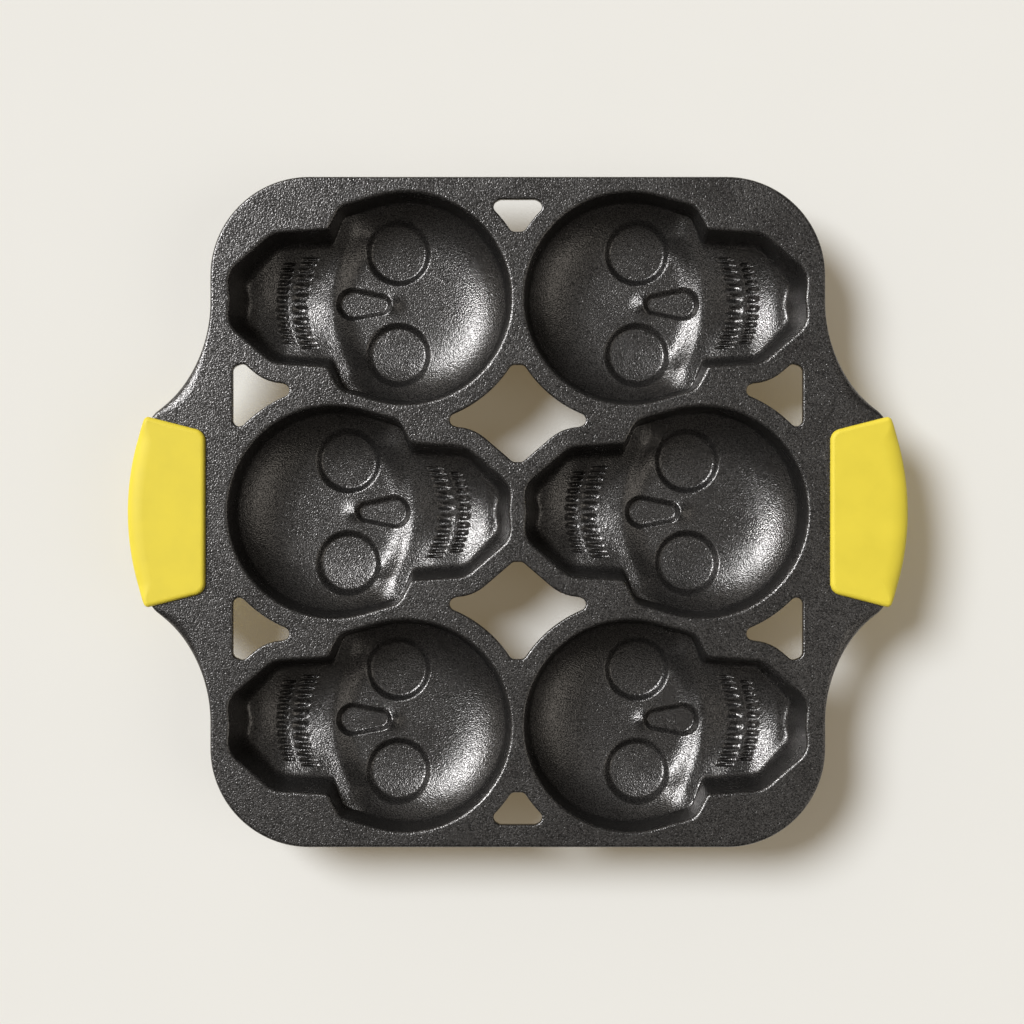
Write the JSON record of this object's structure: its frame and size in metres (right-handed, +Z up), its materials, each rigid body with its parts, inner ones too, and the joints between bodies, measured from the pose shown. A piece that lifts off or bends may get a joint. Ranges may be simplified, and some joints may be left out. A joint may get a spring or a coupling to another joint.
{
  "type": "skull cake pan",
  "caption": "Cast-iron baking pan with skull-shaped cavities in a flat deck with cut-out windows, and slip-on silicone grips on its two end handles.",
  "frame": {"origin": "on the table under the middle of the pan", "axes": "+X from the left grip to the right grip, +Y across the pan, +Z up through the open cavities"},
  "size_m": [0.3904, 0.3356, 0.0448],
  "materials": {
    "seasoned_iron": "seasoned sand casting, fine pebbled grain, semi-gloss in the cavities",
    "silicone": "smooth matte moulded silicone"
  },
  "bodies": {
    "pan": {"pan_casting": "seasoned_iron"},
    "grip_left": {"grip_left": "silicone"},
    "grip_right": {"grip_right": "silicone"}
  },
  "joints": [
    {"name": "grip_left_slide", "type": "slide", "parent": "pan", "child": "grip_left", "axis": [-1, 0, 0], "range_m": [0, 0.06]},
    {"name": "grip_right_slide", "type": "slide", "parent": "pan", "child": "grip_right", "axis": [1, 0, 0], "range_m": [0, 0.06]}
  ]
}
